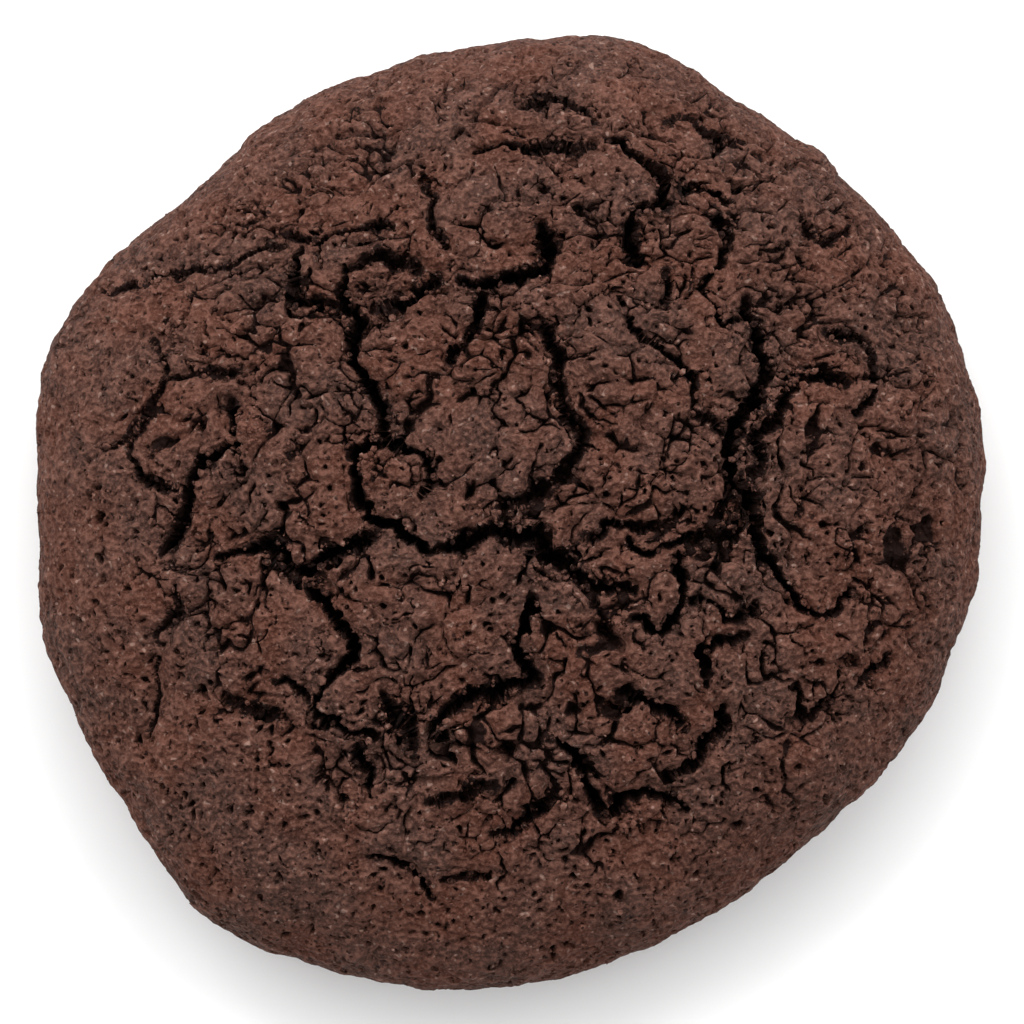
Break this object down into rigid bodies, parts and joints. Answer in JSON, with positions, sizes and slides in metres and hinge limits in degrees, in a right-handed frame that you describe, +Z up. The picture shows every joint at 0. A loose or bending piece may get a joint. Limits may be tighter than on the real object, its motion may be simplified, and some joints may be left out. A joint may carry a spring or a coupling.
{
  "type": "chocolate cookie",
  "caption": "Thick, round, soft-baked chocolate cookie: a domed dark crust broken into puffed plates by deep fissures and pits, on a flat underside.",
  "frame": {"origin": "middle of the flat underside, below the middle of the cookie's outline", "axes": "+Z up through the crown, +X and +Y across the cookie, with the gentler, smoother side towards -X and -Y"},
  "size_m": [0.07, 0.0706, 0.018],
  "materials": {
    "crust": "dry, matte, porous baked crust, dark cocoa brown, near black in the fissures"
  },
  "bodies": {
    "root": {"cookie": "crust"}
  },
  "joints": []
}
